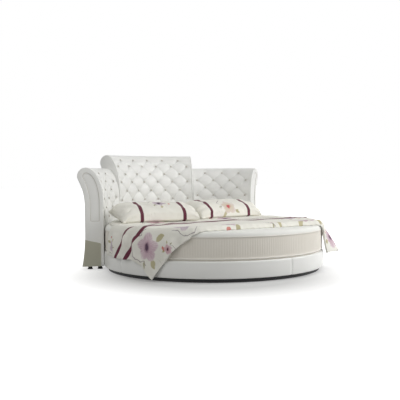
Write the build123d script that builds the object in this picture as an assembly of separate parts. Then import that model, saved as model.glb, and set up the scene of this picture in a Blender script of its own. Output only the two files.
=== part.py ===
from build123d import *
import os
from math import atan2, cos, degrees, radians, sin, sqrt

# Round bed: a ring base with slats, a three-part tufted headboard that follows the ring, a round mattress,
# a quilt and two pillows. Millimetres. The origin is on the floor under the middle of the ring,
# +Y points to the headboard, +X to the right of someone who stands at the foot.
# A bearing is an angle in degrees about Z, from +Y towards +X.

# Ring base
ring_radius = 1100.0
ring_underside = 35.0
ring_height = 153.0
rail_thickness = 45.0
cover_thickness = 10.0
cover_edge_radius = 7.0
cover_return_width = 20.0
cover_return_thickness = 3.0
rail_joint_gap = 0.8
plinth_thickness = 18.0

# Slats, what carries them, and the joints of the ring
ledge_width = 35.0
ledge_height = 35.0
slat_thickness = 20.0
slat_width = 110.0
slat_spacing = 185.0
slat_end_clearance = 2.0
beam_width = 60.0
beam_height = 100.0
side_beam_offset = 520.0
fit_gap = 0.3
hanger_thickness = 3.0
hanger_length = 40.0
hanger_height = 55.0
leg_radius = 22.0
leg_foot_radius = 30.0
leg_foot_height = 5.0
leg_flange_radius = 28.0
leg_flange_height = 4.0
leg_taper_height = 6.0
centre_beam_leg_offset = 620.0
side_beam_leg_offset = 430.0
plate_thickness = 4.0
plate_length = 120.0
plate_height = 52.0
plate_bolt_offset = 46.0
bolt_radius = 4.0
bolt_length = 34.0
bolt_head_width = 13.0
bolt_head_height = 5.0
bolt_clearance = 0.4

# Headboard
headboard_gap = 5.0
headboard_waist = 184.0
headboard_foot_flare = 29.0
flare_height = 365.0
centre_height = 1155.0
wing_height = 1010.0
centre_rise = 420.0
wing_rise = 350.0
roll_setback = 170.0
roll_radius = 85.0
roll_under_angle = 27.0
pad_thickness = 45.0
pad_underside = 200.0
skin_thickness = 12.0
centre_half_angle = 27.0
wing_end_angle = 63.0
section_gap = 1.6
cheek_thickness = 10.0
end_cap_thickness = 22.0
panel_recess = 4.0
panel_fit = 0.5
panel_front_border = 42.0
panel_back_border = 52.0
panel_underside = 480.0
panel_corner_radius = 12.0
foot_panel_thickness = 3.0
foot_panel_front_border = 32.0
foot_panel_back_height = 305.0
foot_panel_front_height = 262.0
foot_panel_corner_radius = 14.0
glide_radius = 26.0
glide_waist_radius = 20.0
glide_rim = 8.0
glide_front_setback = 40.0
glide_back_setback = 46.0
glide_end_distance = 62.0
strap_width = 60.0
strap_thickness = 4.0
strap_screw_setback = 11.0
strap_screw_inset = 8.0
strap_end_margin = 13.0
seam_plate_length = 100.0
seam_plate_width = 36.0
seam_plate_setback = 90.0
seam_screw_offset = 34.0
screw_length = 32.0
dowel_radius = 6.0
dowel_length = 70.0
dowel_setback = 112.0
dowel_fit = 0.2
dowel_low = 300.0
dowel_high = 600.0

# Tufting of the headboard: rows of buttons counted down from the top, and the spacing along a row
tuft_depth = 16.0
button_spacing = 184.0
wing_button_spacing = 186.0
centre_row_drops = (48.0, 119.0, 208.0, 296.0, 394.0, 494.0, 594.0)
wing_row_drops = (52.0, 137.0, 224.0, 315.0, 410.0, 505.0)
centre_top_row_buttons = 5
wing_top_row_buttons = 3
brow_drop = 12.0
pleat_share = 0.6
lattice_steps = 2
button_radius = 12.0
button_seat_radius = 2.5
button_lift = 1.4
button_crown_radius = 7.0
button_widest_height = 8.0
button_height = 11.0
button_sides = 8

# Mattress
mattress_inset = 10.0
mattress_height = 252.0
mattress_edge_radius = 40.0
mattress_foot_radius = 12.0
mattress_crown = 5.0
tape_groove = 4.0
tape_width = 10.0
cover_wall = 8.0

# Quilt and pillows
quilt_thickness = 22.0
quilt_wrap_radius = 50.0
quilt_stand_off = 8.0
quilt_drop = 440.0
quilt_fold_swing = 30.0
quilt_front_setback = 247.0
quilt_turn = 7.0
quilt_overlap = 40.0
pillow_length = 780.0
pillow_depth = 500.0
pillow_thickness = 165.0
pillow_edge_thickness = 14.0
pillow_underside_share = 0.3
pillow_side_draw_share = 0.07
pillow_lean = 8.0
left_pillow_offset = -460.0
left_pillow_gap = 60.0
left_pillow_turn = -14.0
right_pillow_offset = 430.0
right_pillow_gap = 40.0
right_pillow_turn = -4.0
cut_overrun = 50.0

# Heights and radii that follow from the sizes above
ring_top = ring_underside + ring_height
face_radius = ring_radius + headboard_gap
roll_axis_radius = face_radius + roll_setback
mattress_radius = ring_radius - mattress_inset
rail_outer = ring_radius - cover_thickness
rail_inner = rail_outer - rail_thickness
ledge_top = ring_top - slat_thickness
mattress_top = ring_top + mattress_height
quilt_underside = mattress_top + mattress_crown + fit_gap
quilt_top = quilt_underside + quilt_thickness
QUARTERS = {"back_right": 0, "front_right": 90, "front_left": 180, "back_left": 270}


def radial_plane(bearing):
    """Plane through the Z axis at a bearing: local x is the radius, local y the height."""
    b = radians(bearing)
    return Plane(origin=(0, 0, 0), x_dir=(sin(b), cos(b), 0), z_dir=(cos(b), -sin(b), 0))


def at_bearing(radius, bearing, height):
    """Point at a radius, bearing and height."""
    b = radians(bearing)
    return Vector(radius * sin(b), radius * cos(b), height)


def turned(face, start, end):
    """Solid of a profile (x is the radius, y the height) carried round the Z axis from one bearing to another."""
    return revolve(Plane.XZ * face, Axis.Z, end - start).rotate(Axis.Z, 90 - end)


def band(inner, outer, low, high):
    """Rectangular profile between two radii and two heights."""
    return Pos((inner + outer) / 2, (low + high) / 2) * Rectangle(outer - inner, high - low)


def arc_angle(length, radius):
    """Angle in degrees that a length takes up on a circle."""
    return degrees(length / radius)


def drum(radius, low, high):
    """Upright cylinder about the Z axis between two heights."""
    return Pos(0, 0, low) * Cylinder(radius, high - low, align=(Align.CENTER, Align.CENTER, Align.MIN))


def hex_bolt(length, clearance=0.0):
    """Bolt or screw along +Z, its head on the underside of the plane z = 0. With a clearance it is its hole."""
    shank = Cylinder(bolt_radius + clearance, length, align=(Align.CENTER, Align.CENTER, Align.MIN))
    if clearance:
        return shank
    head = extrude(RegularPolygon(bolt_head_width / 2, 6, major_radius=False), -bolt_head_height)
    return shank + head


def save(name, shape):
    """Write a node, an assembly of one or more solids, to its own file."""
    solids = shape.solids() if not isinstance(shape, list) else [s for p in shape for s in p.solids()]
    part = solids[0] if len(solids) == 1 else Compound(children=solids)
    part.label = name
    export_step(part, os.path.join("parts", name + ".step"))


# Ring: four padded quarter rails on a set-back plinth
def rail_core_profile():
    return band(rail_inner, rail_outer, ring_underside + cover_return_thickness, ring_top - cover_thickness)


def rail_cover_profile():
    """Upholstery that wraps the rail: over the top, down the outside and a little way under."""
    wrap = band(rail_inner, ring_radius, ring_underside, ring_top)
    wrap = fillet(wrap.vertices().group_by(Axis.X)[-1], cover_edge_radius)
    hollow = band(rail_inner - cut_overrun, rail_outer, ring_underside - cut_overrun, ring_top - cover_thickness)
    turned_under = band(rail_outer - cover_return_width, rail_outer, ring_underside,
                        ring_underside + cover_return_thickness)
    return wrap - hollow + turned_under


def strap_bearings():
    """Two straps for each wing and two for the centre, each clear of the feet and the rail joints."""
    wing_mid = (centre_half_angle + wing_end_angle) / 2
    wing_step = (wing_end_angle - centre_half_angle) / 4
    centre_step = centre_half_angle / 2
    right = [centre_step, wing_mid - wing_step, wing_mid + wing_step]
    return right + [-b for b in right]


strap_inner_screw_radius = rail_outer - strap_screw_setback
strap_outer_screw_radius = face_radius + strap_screw_inset
seam_plate_radius = face_radius + seam_plate_setback


def screws(clearance=0.0):
    """Screws that come up through the straps and the seam plates."""
    places = [at_bearing(radius, bearing, ring_underside - strap_thickness)
              for bearing in strap_bearings() for radius in (strap_inner_screw_radius, strap_outer_screw_radius)]
    step = arc_angle(seam_screw_offset, seam_plate_radius)
    places += [at_bearing(seam_plate_radius, side * centre_half_angle + shift, ring_underside - strap_thickness)
               for side in (1, -1) for shift in (step, -step)]
    return [Pos(*place) * hex_bolt(screw_length, clearance) for place in places]


def straps():
    """Flat steel straps under the ring and the headboard, which hold the two together."""
    inner = strap_inner_screw_radius - strap_end_margin
    outer = strap_outer_screw_radius + strap_end_margin
    pieces = []
    for bearing in strap_bearings():
        middle = at_bearing((inner + outer) / 2, bearing, ring_underside - strap_thickness / 2)
        pieces.append(Pos(*middle) * Rot(0, 0, -bearing) * Box(strap_width, outer - inner, strap_thickness))
    return [piece - screw_holes for piece in pieces]


def seam_plates():
    """Steel plates under the seams between the centre section and the wings."""
    pieces = []
    for side in (1, -1):
        middle = at_bearing(seam_plate_radius, side * centre_half_angle, ring_underside - strap_thickness / 2)
        plate = Pos(*middle) * Rot(0, 0, -side * centre_half_angle) * Box(
            seam_plate_length, seam_plate_width, strap_thickness)
        pieces.append(plate - screw_holes)
    return pieces


def plate_bolts(clearance=0.0):
    """Bolts through each joint plate into the two rails that it joins."""
    bolts = []
    plate_face = rail_inner - plate_thickness
    seat = sqrt(plate_face ** 2 - bolt_head_width ** 2)
    step = arc_angle(plate_bolt_offset, plate_face)
    height = ring_underside + cover_return_thickness + plate_height
    for joint in QUARTERS.values():
        for bearing in (joint - step, joint + step):
            place = Plane(origin=at_bearing(seat, bearing, height), z_dir=at_bearing(1, bearing, 0))
            bolts.append(place * hex_bolt(bolt_length, clearance))
    return bolts


screw_holes = screws(bolt_clearance)
plate_holes = plate_bolts(bolt_clearance)


def quarter(profile, start):
    """One quarter of the ring, short of its joints by half the joint gap."""
    gap = arc_angle(rail_joint_gap / 2, ring_radius)
    return turned(profile, start + gap, start + 90 - gap)


def ring_parts():
    for name, start in QUARTERS.items():
        save("rail_core_" + name, quarter(rail_core_profile(), start) - screw_holes - plate_holes)
        save("rail_cover_" + name, quarter(rail_cover_profile(), start) - screw_holes)
    underside = ring_underside + cover_return_thickness
    plinth = band(rail_inner, rail_inner + plinth_thickness, 0, underside)
    save("plinth", [quarter(plinth, start) for start in QUARTERS.values()])
    plate_step = arc_angle(plate_length / 2, rail_inner)
    plate_low = underside + plate_height / 2
    plate = band(rail_inner - plate_thickness, rail_inner, plate_low, plate_low + plate_height)
    plates = [turned(plate, joint - plate_step, joint + plate_step) - plate_holes for joint in QUARTERS.values()]
    save("rail_joint_plates", plates)
    save("rail_joint_bolts", plate_bolts())


# Slat bed: ledges inside the ring, three beams on legs, and slats cut to the circle
beam_underside = ledge_top - beam_height


def beam_end_radius(offset):
    """Radius that a stirrup reaches: the joint plates at the middle beam, the rails at the others."""
    return rail_inner - fit_gap - (0 if offset else plate_thickness)


def beam(offset):
    """Beam along Y whose ends are notched to pass under the ledge and sit in the stirrups."""
    blank = Pos(offset, 0, beam_underside) * Box(
        beam_width, 2 * ring_radius, beam_height, align=(Align.CENTER, Align.CENTER, Align.MIN))
    ledge_room = drum(ring_radius, ledge_top - ledge_height - fit_gap, ledge_top + cut_overrun)
    ledge_room -= drum(rail_inner - ledge_width - fit_gap, 0, ledge_top + 2 * cut_overrun)
    reach = beam_end_radius(offset) - hanger_thickness - fit_gap
    return (blank & drum(reach, 0, ring_top)) - ledge_room


def hangers():
    """Steel stirrups that carry the beam ends, closed against the ring, one at each end of each beam."""
    inside = beam_width + 2 * fit_gap
    outside = inside + 2 * hanger_thickness
    pieces = []
    for offset in (0, side_beam_offset, -side_beam_offset):
        radius = beam_end_radius(offset)
        inner_reach = sqrt(radius ** 2 - (abs(offset) + outside / 2) ** 2) - hanger_length
        for end in (1, -1):
            middle = end * (inner_reach + ring_radius / 2)
            low = beam_underside - hanger_thickness
            outer = Pos(offset, middle, low) * Box(
                outside, ring_radius, hanger_height, align=(Align.CENTER, Align.CENTER, Align.MIN))
            inner = Pos(offset, 0, beam_underside) * Box(
                inside, 2 * ring_radius, hanger_height, align=(Align.CENTER, Align.CENTER, Align.MIN))
            pieces.append((outer & drum(radius, 0, ring_top)) - (inner & drum(radius - hanger_thickness, 0, ring_top)))
    return pieces


def leg():
    """Turned support leg under a beam, with a wide foot and a flange at the top."""
    height = beam_underside
    shank_top = height - leg_flange_height
    side = Polyline(
        (0, 0), (leg_foot_radius, 0), (leg_foot_radius, leg_foot_height),
        (leg_radius, leg_foot_height + leg_taper_height), (leg_radius, shank_top - leg_taper_height),
        (leg_flange_radius, shank_top), (leg_flange_radius, height), (0, height), close=True)
    return revolve(Plane.XZ * make_face(side), Axis.Z, 360)


def slat_places():
    """Offset along Y of each slat, evenly about the middle, as far as the ledge carries them."""
    each_side = int((rail_inner - slat_width) / slat_spacing)
    return [i * slat_spacing for i in range(-each_side, each_side + 1)]


def base_parts():
    ledge = band(rail_inner - ledge_width, rail_inner, ledge_top - ledge_height, ledge_top)
    save("slat_ledge", [quarter(ledge, start) for start in QUARTERS.values()])
    save("centre_beam", beam(0))
    save("left_beam", beam(-side_beam_offset))
    save("right_beam", beam(side_beam_offset))
    save("beam_hangers", hangers())
    save("centre_leg", leg())
    outer_legs = [Pos(0, end * centre_beam_leg_offset) * leg() for end in (1, -1)]
    outer_legs += [Pos(side * side_beam_offset, end * side_beam_leg_offset) * leg()
                   for side in (1, -1) for end in (1, -1)]
    save("beam_legs", outer_legs)
    room = drum(rail_inner - slat_end_clearance, ledge_top, ring_top)
    for i, place in enumerate(slat_places()):
        blank = Pos(0, place, ledge_top) * Box(
            2 * ring_radius, slat_width, slat_thickness, align=(Align.CENTER, Align.CENTER, Align.MIN))
        save(f"slat_{i + 1:02d}", blank & room)


# Headboard outline, seen along the ring: x is the radius, y the height
def back_edges(top, skin):
    """Back of the outline from the top of the roll down to the foot, set in by a skin thickness."""
    a = radians(roll_under_angle)
    back = face_radius + headboard_waist
    roll = roll_radius - skin
    axis_z = top - roll_radius
    neck = (roll_axis_radius + roll_radius * cos(a) - back) / (1 - cos(a)) + skin
    roll_end = (roll_axis_radius + roll * cos(a), axis_z - roll * sin(a))
    neck_axis = (roll_end[0] + neck * cos(a), roll_end[1] - neck * sin(a))
    neck_end = (neck_axis[0] - neck, neck_axis[1])
    rise = flare_height - ring_underside
    flare = (rise ** 2 + headboard_foot_flare ** 2) / (2 * headboard_foot_flare) + skin
    flare_axis = (neck_end[0] + flare, flare_height)

    def roll_point(angle):
        return roll_axis_radius + roll * cos(angle), axis_z + roll * sin(angle)

    def neck_point(angle):
        return neck_axis[0] - neck * cos(angle), neck_axis[1] + neck * sin(angle)

    def flare_point(height):
        return flare_axis[0] - sqrt(flare ** 2 - (flare_height - height) ** 2), height

    quarter_turn = radians(90)
    return [
        ThreePointArc(roll_point(quarter_turn), roll_point((quarter_turn - a) / 2), roll_end),
        ThreePointArc(roll_end, neck_point(a / 2), neck_end),
        Line(neck_end, flare_point(flare_height)),
        ThreePointArc(flare_point(flare_height), flare_point(flare_height - rise / 2), flare_point(ring_underside)),
    ]


def front_radius(height, top, rise, inset):
    """Radius of the front at a height: upright, then a quarter ellipse that rolls back to the top."""
    spring = top - rise
    if height <= spring:
        return face_radius + inset
    head = rise - (skin_thickness if inset else 0)
    share = min((height - spring) / head, 1)
    return roll_axis_radius - (roll_axis_radius - face_radius - inset) * sqrt(1 - share ** 2)


def outline(top, rise):
    """Whole outside outline of a section, with a true ellipse at the front."""
    back = back_edges(top, 0)
    spring = top - rise
    curve = EllipticalCenterArc(
        (roll_axis_radius, spring), roll_axis_radius - face_radius, rise, start_angle=90, arc_size=90)
    upright = Line((face_radius, spring), (face_radius, ring_underside))
    bottom = Line((face_radius, ring_underside), back[-1] @ 1)
    return make_face([curve, upright, bottom] + back)


def row_heights(top, drops):
    """Heights of the button rows, from the lowest up."""
    return sorted(top - drop for drop in drops)


def pad_levels(top, rise, drops):
    """Heights at which the front of a pad has a line of points: underside, rows, brow and top."""
    rows = row_heights(top, drops)
    return [pad_underside] + rows + [top - brow_drop, top]


def board_levels(top, rise, drops):
    """Heights at which the board behind a pad has a corner, kept to the pad's own levels."""
    levels = [z - skin_thickness * (z - top + rise) / rise if z > top - rise else z
              for z in pad_levels(top, rise, drops)]
    return levels


def carcass_profile(top, rise, drops):
    """Timber outline behind the pad and the back cover, stepped forward below the pad."""
    back = back_edges(top, skin_thickness)
    levels = board_levels(top, rise, drops)
    front = [(front_radius(z, top, rise, pad_thickness), z) for z in reversed(levels)]
    front += [(face_radius, pad_underside), (face_radius, ring_underside)]
    return make_face([Polyline(*front), Line(front[-1], back[-1] @ 1)] + back)


def dowels(clearance=0.0):
    """Beech dowels that line the wings up with the centre, across each seam."""
    radius = face_radius + dowel_setback
    pieces = []
    for side in (1, -1):
        for height in (dowel_low, dowel_high):
            seam = at_bearing(radius, side * centre_half_angle, height)
            along = at_bearing(1, side * centre_half_angle + 90, 0)
            place = Plane(origin=seam, z_dir=along)
            pieces.append(place * Cylinder(dowel_radius + clearance, dowel_length + 2 * clearance))
    return pieces


dowel_holes = dowels(dowel_fit)


def carcass(top, rise, drops, start, end):
    """Closed timber carcass of one section, with its holes for dowels and screws."""
    return turned(carcass_profile(top, rise, drops), start, end) - dowel_holes - screw_holes


def back_cover(top, start, end):
    """Plain upholstery over the roll and down the back."""
    outer = back_edges(top, 0)
    inner = back_edges(top, skin_thickness - fit_gap)
    closing = [Line(outer[0] @ 0, inner[0] @ 0), Line(outer[-1] @ 1, inner[-1] @ 1)]
    return turned(make_face(outer + inner + closing), start, end)


def profile_lean(height, top, rise):
    """Angle in radians by which the front leans back at a height."""
    above = height - (top - rise)
    if above <= 0:
        return 0
    reach = roll_axis_radius - front_radius(height, top, rise, 0)
    return atan2(above * (roll_axis_radius - face_radius) ** 2, reach * rise ** 2)


def tuft_share(row, column):
    """Depth of the tufting as a share of the full depth. Rows are counted from the top and columns from the
    first button column. Buttons lie where row + column is odd. In the turned coordinates a and b they are
    the whole numbers, and the pleats the lines where one of the two is whole:
    share = (1 - puff) (pleat + (1 - pleat) |cos(pi a) cos(pi b)|), puff = sqrt|sin(pi a) sin(pi b)|."""
    a = radians(180) * (column + row + 1) / 2
    b = radians(180) * (column - row - 1) / 2
    puff = sqrt(abs(sin(a) * sin(b)))
    return (1 - puff) * (pleat_share + (1 - pleat_share) * abs(cos(a) * cos(b)))


def between(values, index):
    """Value at a whole or broken index of a list."""
    low = min(int(index), len(values) - 2)
    return values[low] + (values[low + 1] - values[low]) * (index - low)


def tufted_pad(top, rise, drops, top_buttons, spacing, start, end):
    """Deep-buttoned front pad and the places of its buttons, as heights and bearings.
    Columns stand half a button spacing apart, with plain margins beside, below and above the field."""
    middle = (start + end) / 2
    half_step = arc_angle(spacing, face_radius) / 2
    columns = [start] + [middle + m * half_step for m in range(-top_buttons, top_buttons + 1)] + [end]
    levels = pad_levels(top, rise, drops)
    seats = board_levels(top, rise, drops)
    rows = len(drops)
    last_row = len(levels) - 1
    last_column = len(columns) - 1

    def is_button(k, m):
        return 1 <= k <= rows and 1 <= m < last_column and (rows - k + m - 1) % 2 == 1

    def face_point(k, m):
        row = min(max(k, 1), rows)
        column = min(max(m, 1), last_column - 1)
        fade = max(1 - abs(k - row), 0) * max(1 - abs(m - column), 0)
        depth = tuft_depth * fade * tuft_share(rows - row, column - 1)
        height = between(levels, k)
        lean = profile_lean(height, top, rise)
        radius = front_radius(height, top, rise, 0) + depth * cos(lean)
        return at_bearing(radius, between(columns, m), height - depth * sin(lean))

    def back_point(k, m):
        radius = front_radius(seats[k], top, rise, pad_thickness) - fit_gap
        return at_bearing(radius, columns[m], seats[k] + (fit_gap if k else 0))

    faces = []

    def triangle(a, b, c):
        faces.append(Face(Wire.make_polygon([a, b, c])))

    def cell(point, k, m, step, falling):
        low_left, low_right = point(k, m), point(k, m + step)
        high_left, high_right = point(k + step, m), point(k + step, m + step)
        if falling:
            triangle(low_left, low_right, high_left)
            triangle(low_right, high_right, high_left)
        else:
            triangle(low_left, low_right, high_right)
            triangle(low_left, high_right, high_left)

    def strip(fine, coarse):
        """Rim between a finely divided edge of the face and the same edge of the back."""
        half = lattice_steps // 2
        for j in range(len(coarse) - 1):
            first = j * lattice_steps
            for i in range(lattice_steps):
                triangle(fine[first + i], fine[first + i + 1], coarse[j] if i < half else coarse[j + 1])
            triangle(coarse[j], coarse[j + 1], fine[first + half])

    for k in range(last_row):
        for m in range(last_column):
            falling = is_button(k, m + 1) or is_button(k + 1, m)
            cell(back_point, k, m, 1, falling)
            for i in range(lattice_steps):
                for j in range(lattice_steps):
                    cell(face_point, k + i / lattice_steps, m + j / lattice_steps, 1 / lattice_steps, falling)
    fine_rows = [i / lattice_steps for i in range(last_row * lattice_steps + 1)]
    fine_columns = [i / lattice_steps for i in range(last_column * lattice_steps + 1)]
    for m in (0, last_column):
        strip([face_point(k, m) for k in fine_rows], [back_point(k, m) for k in range(last_row + 1)])
    for k in (0, last_row):
        strip([face_point(k, m) for m in fine_columns], [back_point(k, m) for m in range(last_column + 1)])
    places = [(levels[k], columns[m]) for k in range(last_row) for m in range(last_column) if is_button(k, m)]
    return Solid(Shell(faces)), places


def buttons(top, rise, places):
    """Faceted buttons, each seated at the bottom of its tuft and square to the face there."""
    pieces = []
    for height, bearing in places:
        lean = profile_lean(height, top, rise)
        outward = at_bearing(-cos(lean), bearing, sin(lean))
        seat = at_bearing(front_radius(height, top, rise, 0), bearing, height) - outward * (tuft_depth - button_lift)
        rings = ((0, button_seat_radius), (button_widest_height, button_radius), (button_height, button_crown_radius))
        sections = [(Pos(0, 0, z) * RegularPolygon(r, button_sides)).face() for z, r in rings]
        pieces.append(Plane(origin=seat, z_dir=outward) * loft(sections, ruled=True))
    return pieces


def wing_end_panel_profile(gap):
    """Inset panel of a wing's end: the section outline drawn in by its border and a gap, square below."""
    border = panel_back_border + gap
    top = wing_height - border
    inner = roll_radius - border
    rise = wing_rise - border
    a = radians(roll_under_angle)
    spring = wing_height - wing_rise
    axis_z = wing_height - roll_radius
    front = face_radius + panel_front_border + gap
    low = panel_underside + gap
    roll_end = (roll_axis_radius + inner * cos(a), axis_z - inner * sin(a))
    waist = face_radius + headboard_waist - border
    neck = (roll_end[0] - waist) / (1 - cos(a))
    neck_middle = (roll_end[0] - neck * (cos(a / 2) - cos(a)), roll_end[1] - neck * (sin(a) - sin(a / 2)))
    neck_end = (waist, roll_end[1] - neck * sin(a))
    crown = radians(90)
    shoulder = (crown - a) / 2
    face = make_face([
        EllipticalCenterArc((roll_axis_radius, spring), roll_axis_radius - front, rise, start_angle=90, arc_size=90),
        Line((front, spring), (front, low)),
        Line((front, low), (waist, low)),
        Line((waist, low), neck_end),
        ThreePointArc(neck_end, neck_middle, roll_end),
        ThreePointArc(roll_end, (roll_axis_radius + inner * cos(shoulder), axis_z + inner * sin(shoulder)),
                      (roll_axis_radius, top)),
    ])
    return fillet(face.vertices().group_by(Axis.Y)[0], panel_corner_radius - gap)


def foot_panel_profile():
    """Contrast panel on the foot of a wing's end: sloping top, one rounded corner, full to the back edge."""
    front = face_radius + foot_panel_front_border
    back = face_radius + headboard_waist + headboard_foot_flare
    over = back + cut_overrun
    slope = (foot_panel_back_height - foot_panel_front_height) / (back - front)
    shape = make_face(Polyline(
        (front, ring_underside), (front, foot_panel_front_height),
        (over, foot_panel_front_height + slope * (over - front)), (over, ring_underside), close=True))
    corner = shape.vertices().group_by(Axis.X)[0].sort_by(Axis.Y)[-1]
    return fillet(corner, foot_panel_corner_radius) & outline(wing_height, wing_rise)


def glides(start, end):
    """Black feet near the two ends of a section, one to the front and one to the back at each."""
    side = make_face(Polyline(
        (0, 0), (glide_radius, 0), (glide_radius, glide_rim), (glide_waist_radius, 2 * glide_rim),
        (glide_waist_radius, ring_underside), (0, ring_underside), close=True))
    glide = revolve(Plane.XZ * side, Axis.Z, 360)
    radii = (face_radius + glide_front_setback, face_radius + headboard_waist - glide_back_setback)
    return [Pos(*at_bearing(r, b, 0)) * glide for r in radii
            for b in (start + arc_angle(glide_end_distance, r), end - arc_angle(glide_end_distance, r))]


def mirrored(shape, side):
    """A right-hand piece as it is, or its mirror image on the left."""
    if side > 0:
        return shape
    pieces = shape if isinstance(shape, list) else [shape]
    return [mirror(p, Plane.YZ) for p in pieces]


def headboard_parts():
    cheek = arc_angle(cheek_thickness, face_radius + headboard_waist / 2)
    half = centre_half_angle - cheek
    top, rise, drops = centre_height, centre_rise, centre_row_drops
    save("centre_carcass", carcass(top, rise, drops, -half, half))
    save("centre_back_cover", back_cover(top, -half, half))
    pad, places = tufted_pad(top, rise, drops, centre_top_row_buttons, button_spacing, -half, half)
    save("centre_tufted_pad", pad)
    save("centre_buttons", buttons(top, rise, places))
    right_cheek = turned(outline(top, rise), half, centre_half_angle) - dowel_holes
    save("centre_right_cheek", right_cheek)
    save("centre_left_cheek", mirrored(right_cheek, -1))
    feet = glides(-half, half)

    top, rise, drops = wing_height, wing_rise, wing_row_drops
    start = centre_half_angle + arc_angle(section_gap, face_radius)
    cap = arc_angle(end_cap_thickness, face_radius + headboard_waist / 2)
    end = wing_end_angle - cap
    recess = arc_angle(panel_recess, face_radius + headboard_waist / 2)
    plate = arc_angle(foot_panel_thickness, face_radius + headboard_waist / 2)
    wing_frame = carcass(top, rise, drops, start, end)
    cover = back_cover(top, start, end)
    pad, places = tufted_pad(top, rise, drops, wing_top_row_buttons, wing_button_spacing, start, end)
    cap_border = turned(outline(top, rise), end, wing_end_angle)
    cap_border -= turned(wing_end_panel_profile(0), end - cap, wing_end_angle + cap)
    panel = turned(wing_end_panel_profile(panel_fit), end, wing_end_angle - recess)
    foot_panel = turned(foot_panel_profile(), wing_end_angle, wing_end_angle + plate)
    studs = buttons(top, rise, places)
    for name, side in (("right_wing", 1), ("left_wing", -1)):
        save(name + "_carcass", mirrored(wing_frame, side))
        save(name + "_back_cover", mirrored(cover, side))
        save(name + "_tufted_pad", mirrored(pad, side))
        save(name + "_buttons", mirrored(studs, side))
        save(name + "_end_border", mirrored(cap_border, side))
        save(name + "_end_panel", mirrored(panel, side))
        save(name + "_foot_panel", mirrored(foot_panel, side))
        feet += mirrored(glides(start, end), side)
    save("headboard_glides", feet)
    save("section_dowels", dowels())
    save("headboard_straps", straps())
    save("seam_plates", seam_plates())
    save("strap_screws", screws())


# Mattress
def mattress_side():
    """Outside of the cover: crowned top, rounded edge, taped seam, upright border and a second tape."""
    r, low, high = mattress_radius, ring_top + fit_gap, mattress_top
    seam = high - mattress_edge_radius
    foot = low + mattress_foot_radius
    tape = tape_width / 2
    return make_face([
        Line((0, low), (0, high + mattress_crown)),
        ThreePointArc((0, high + mattress_crown), ((r - mattress_edge_radius) / 2, high + mattress_crown * 3 / 4),
                      (r - mattress_edge_radius, high)),
        ThreePointArc((r - mattress_edge_radius, high),
                      (r - mattress_edge_radius * (1 - cos(radians(45))), seam + mattress_edge_radius * sin(radians(45))),
                      (r, seam)),
        Line((r, seam), (r - tape_groove, seam - tape)),
        Line((r - tape_groove, seam - tape), (r, seam - tape_width)),
        Line((r, seam - tape_width), (r, foot + tape_width)),
        Line((r, foot + tape_width), (r - tape_groove, foot + tape)),
        Line((r - tape_groove, foot + tape), (r, foot)),
        Line((r, foot), (r - mattress_foot_radius, low)),
        Line((r - mattress_foot_radius, low), (0, low)),
    ])


def mattress_parts():
    core_low = ring_top + fit_gap + cover_wall
    core = drum(mattress_radius - mattress_edge_radius - cover_wall, core_low, mattress_top - cover_wall)
    middle = drum(mattress_radius - tape_groove - cover_wall, core_low + mattress_foot_radius,
                  mattress_top - mattress_edge_radius)
    save("mattress_core", core + middle)
    shell = revolve(Plane.XZ * mattress_side(), Axis.Z, 360)
    save("mattress_cover", shell - core - middle)


# Quilt: bearing, share of the longest drop, and share of the swing by which the hem stands out
left_skirt_shares = (
    (-134.0, 0.10, 0.2), (-130.5, 0.27, 0.5), (-126.0, 0.47, 0.9), (-121.5, 0.68, 1.1), (-117.5, 0.86, 1.2),
    (-114.5, 0.99, 1.0), (-111.5, 0.93, 0.7), (-108.0, 0.80, 0.4), (-104.0, 0.70, 1.2), (-99.5, 0.69, 0.4),
    (-95.0, 0.70, 1.3), (-91.0, 0.67, 0.5), (-87.0, 0.62, 1.2), (-83.0, 0.58, 0.6), (-79.0, 0.56, 1.0),
    (-75.0, 0.53, 0.4), (-71.0, 0.50, 0.9), (-67.0, 0.47, 0.3))
right_skirt_shares = (
    (112.0, 0.12, 0.2), (118.0, 0.20, 0.7), (123.0, 0.30, 0.9), (127.0, 0.42, 2.0), (131.0, 0.55, 3.4),
    (135.0, 0.63, 4.2), (139.0, 0.58, 3.4), (142.5, 0.40, 1.8), (145.5, 0.24, 0.8), (148.0, 0.12, 0.3))


def skirt_section(bearing, drop_share, swing_share):
    """Upright section of the quilt's hanging side: flat on the mattress, round the edge, then down to the hem."""
    out = mattress_radius + quilt_stand_off + quilt_thickness
    outer_radius = quilt_wrap_radius + quilt_thickness
    axis = out - outer_radius
    spring = quilt_top - outer_radius
    start = axis - quilt_overlap
    hem = quilt_top - outer_radius - drop_share * (quilt_drop - outer_radius)
    swung = out + swing_share * quilt_fold_swing
    bend = radians(45)
    over = ThreePointArc((axis, quilt_top), (axis + outer_radius * sin(bend), spring + outer_radius * cos(bend)),
                         (out, spring))
    under = ThreePointArc((out - quilt_thickness, spring),
                          (axis + quilt_wrap_radius * sin(bend), spring + quilt_wrap_radius * cos(bend)),
                          (axis, quilt_underside))
    face = make_face([
        Line((start, quilt_top), (axis, quilt_top)),
        over,
        Line((out, spring), (swung, hem)),
        Line((swung, hem), (swung - quilt_thickness, hem)),
        Line((swung - quilt_thickness, hem), (out - quilt_thickness, spring)),
        under,
        Line((axis, quilt_underside), (start, quilt_underside)),
        Line((start, quilt_underside), (start, quilt_top)),
    ])
    return radial_plane(bearing) * face


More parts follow.
